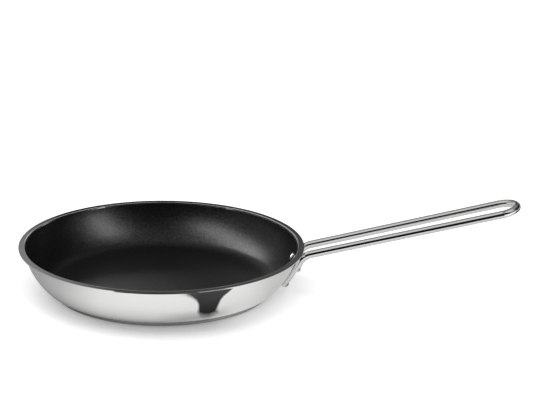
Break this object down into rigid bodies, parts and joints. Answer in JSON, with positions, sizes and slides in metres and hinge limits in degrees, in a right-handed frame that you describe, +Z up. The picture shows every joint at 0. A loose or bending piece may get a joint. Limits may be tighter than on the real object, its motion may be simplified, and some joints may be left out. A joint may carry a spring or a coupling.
{
  "type": "omelette pan",
  "caption": "Shallow round pan with a black coated inside, a curved polished steel wall with a flat lip, a closed-in base disc and a long hairpin rod handle riveted to the wall.",
  "frame": {"origin": "centre of the flat face of the base disc that the pan rests on", "axes": "+X along the handle, away from the bowl; +Z up, out of the mouth of the bowl; +Y to the left of someone who stands behind the bowl and looks along the handle"},
  "size_m": [0.42, 0.24, 0.0807],
  "materials": {
    "polished_steel": "deep-drawn stainless steel, polished to a mirror on the outside and on the lip",
    "nonstick_coating": "sprayed and baked black fluoropolymer non-stick coating, fine-grained, satin",
    "base_aluminium": "rolled aluminium disc, unfinished, hidden inside the base",
    "base_steel": "magnetic stainless steel, turned to fine rings underneath and satin on the edge",
    "handle_steel": "stainless steel rod, bent and polished to a mirror",
    "rivet_steel": "stainless steel rivets with polished heads and set ends"
  },
  "bodies": {
    "root": {"pan_body": "polished_steel", "nonstick_coating": "nonstick_coating", "base_core": "base_aluminium", "base_cap": "base_steel", "handle_rod": "handle_steel", "upper_rivets": "rivet_steel", "lower_rivets": "rivet_steel"}
  },
  "joints": []
}
